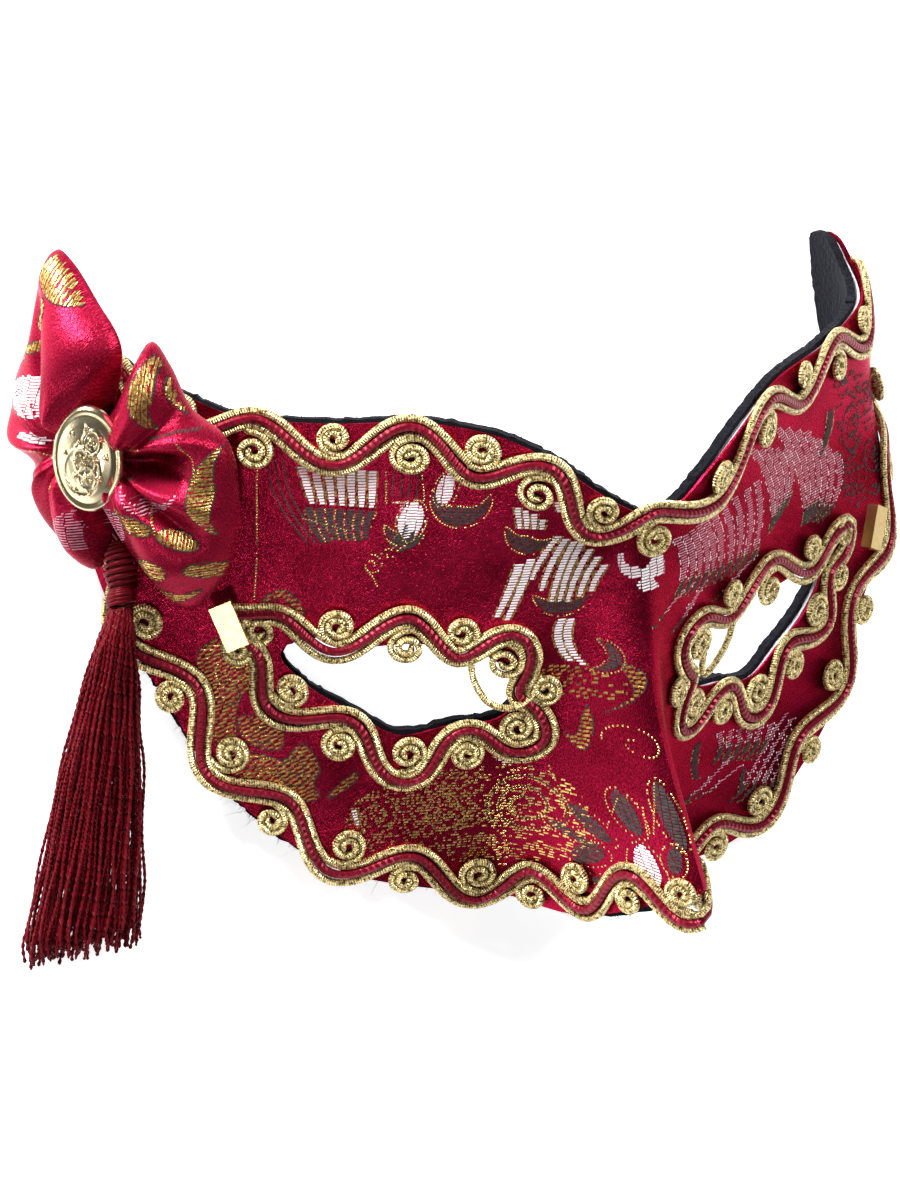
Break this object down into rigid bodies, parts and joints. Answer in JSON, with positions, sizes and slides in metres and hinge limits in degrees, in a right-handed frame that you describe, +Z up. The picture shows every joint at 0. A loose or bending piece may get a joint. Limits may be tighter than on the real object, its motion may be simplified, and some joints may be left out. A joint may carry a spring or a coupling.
{
  "type": "venetian half mask",
  "caption": "Half mask with a moulded nose, brocade front, felt lining and gold and burgundy gimp edging, with a bow, domed button and tassel at one temple.",
  "frame": {"origin": "bottom centre of the box around the mask as it lies face up", "axes": "+X towards the wearer's left temple, which is on the right of someone facing the mask, +Y from the nose tip towards the brow, +Z up from the table"},
  "size_m": [0.2118, 0.147, 0.0635],
  "materials": {
    "brocade": "crimson satin brocade with woven silver, pink and gold motifs",
    "shell": "white moulded plastic, satin",
    "felt": "black pressed felt with a fuzzy nap",
    "gold_gimp": "cord wound with metallic gold yarn",
    "satin": "twisted burgundy satin cord",
    "clip_brass": "bright bent sheet brass",
    "button_brass": "gilt cast relief, worn bright on the high places",
    "tassel_rayon": "burgundy twisted rayon threads"
  },
  "bodies": {
    "root": {"brocade_cover": "brocade", "moulded_shell": "shell", "felt_lining": "felt", "edge_gold_gimp": "gold_gimp", "edge_satin_cord": "satin", "left_eye_gold_gimp": "gold_gimp", "left_eye_satin_cord": "satin", "left_clip": "clip_brass", "right_eye_gold_gimp": "gold_gimp", "right_eye_satin_cord": "satin", "right_clip": "clip_brass", "bow": "brocade", "button": "button_brass", "tassel_knot": "tassel_rayon", "tassel_skirt": "tassel_rayon"}
  },
  "joints": []
}
